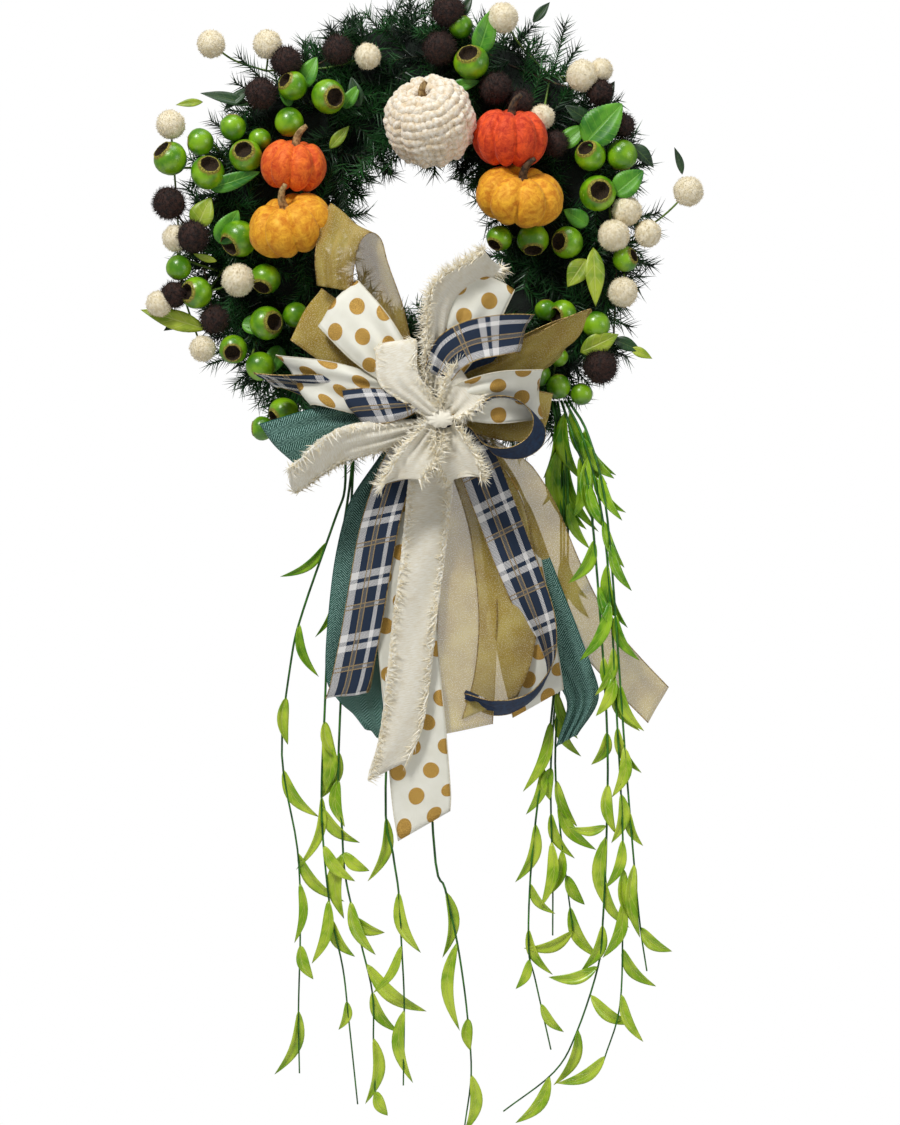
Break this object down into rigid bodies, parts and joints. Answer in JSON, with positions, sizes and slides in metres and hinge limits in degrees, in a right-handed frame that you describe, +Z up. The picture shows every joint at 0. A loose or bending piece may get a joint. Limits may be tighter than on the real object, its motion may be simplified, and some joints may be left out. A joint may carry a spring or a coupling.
{
  "type": "harvest door wreath",
  "caption": "Round artificial pine door wreath with stuffed pumpkins, green seed pods, pom-poms, a layered ribbon bow with long tails and trailing leafy vines.",
  "frame": {"origin": "inside top of the wire hanging loop, where the hook of a door hanger takes it", "axes": "+Z up, +X to the right as seen from the front, +Y towards the door; the decorated face looks along -Y"},
  "size_m": [0.5993, 0.17, 1.2179],
  "materials": {
    "frame_wire": "semi-gloss",
    "pine": "matte",
    "pod_green": "satin",
    "cream_fluff": "fuzzy",
    "brown_fluff": "fuzzy",
    "white_boucle": "looped",
    "orange_velvet": "crushed velvet",
    "mustard_velvet": "crushed velvet",
    "dried_stem": "matte",
    "dark_stem": "matte",
    "gold_mesh": "metallic sheer",
    "teal_twill": "woven",
    "polka_satin": "satin with glitter dots",
    "plaid_twill": "woven",
    "ivory_silk": "slubbed, frayed edges",
    "vine_green": "satin"
  },
  "bodies": {
    "wreath": {"frame_ring": "frame_wire", "hanger_loop": "frame_wire", "bow_tie": "frame_wire", "pine_bunch_1": "pine", "pine_bunch_2": "pine", "pine_bunch_3": "pine", "pine_bunch_4": "pine", "pine_bunch_5": "pine", "pine_bunch_6": "pine", "pod_pick_far_left": "pod_green", "pod_pick_upper_left": "pod_green", "pod_pick_mid_left": "pod_green", "pod_pick_lower_left": "pod_green", "pod_pick_bottom_left": "pod_green", "pod_pick_top": "pod_green", "pod_pick_upper_right": "pod_green", "pod_pick_inner_right": "pod_green", "pod_pick_lower_right": "pod_green", "pod_pick_bottom_right": "pod_green", "cream_spray_upper_left": "cream_fluff", "cream_spray_far_left": "cream_fluff", "cream_spray_top_right": "cream_fluff", "cream_spray_far_right": "cream_fluff", "brown_spray_upper_left": "brown_fluff", "brown_spray_far_left": "brown_fluff", "brown_spray_top_right": "brown_fluff", "brown_spray_lower_right": "brown_fluff", "pumpkin_white": "white_boucle", "pumpkin_stalk_white": "dried_stem", "pumpkin_orange_left": "orange_velvet", "pumpkin_stalk_orange_left": "dried_stem", "pumpkin_orange_right": "orange_velvet", "pumpkin_stalk_orange_right": "dark_stem", "pumpkin_mustard_left": "mustard_velvet", "pumpkin_stalk_mustard_left": "dried_stem", "pumpkin_mustard_right": "mustard_velvet", "pumpkin_stalk_mustard_right": "dark_stem", "bow_core": "ivory_silk", "bow_loops_gold": "gold_mesh", "bow_loops_teal": "teal_twill", "bow_loops_polka": "polka_satin", "bow_loops_plaid": "plaid_twill", "bow_loops_ivory": "ivory_silk", "bow_loops_ivory_centre": "ivory_silk"},
    "tails": {"tail_gold_right": "gold_mesh", "tail_teal_left": "teal_twill", "tail_teal_right": "teal_twill", "tail_gold_centre": "gold_mesh", "tail_polka_centre": "polka_satin", "tail_polka_right": "polka_satin", "tail_plaid_left": "plaid_twill", "tail_plaid_right": "plaid_twill", "tail_ivory": "ivory_silk"},
    "vines_left": {"vine_left_outer": "vine_green", "vine_left_inner": "vine_green"},
    "vines_centre": {"vine_centre": "vine_green"},
    "vines_right": {"vine_right_inner": "vine_green", "vine_right_middle": "vine_green", "vine_right_outer": "vine_green"}
  },
  "joints": [
    {"name": "tails_sway", "type": "hinge", "parent": "wreath", "child": "tails", "pos_m": [0.01332, -0.0729, -0.39853], "axis": [0, 1, 0], "range_deg": [-6, 6]},
    {"name": "vines_left_sway", "type": "hinge", "parent": "wreath", "child": "vines_left", "pos_m": [-0.09475, -0.0545, -0.43014], "axis": [0, 1, 0], "range_deg": [-5, 5]},
    {"name": "vines_centre_sway", "type": "hinge", "parent": "wreath", "child": "vines_centre", "pos_m": [0.00533, -0.0603, -0.44294], "axis": [0, 1, 0], "range_deg": [-5, 5]},
    {"name": "vines_right_sway", "type": "hinge", "parent": "wreath", "child": "vines_right", "pos_m": [0.17757, -0.0632, -0.3906], "axis": [0, 1, 0], "range_deg": [-5, 5]}
  ]
}
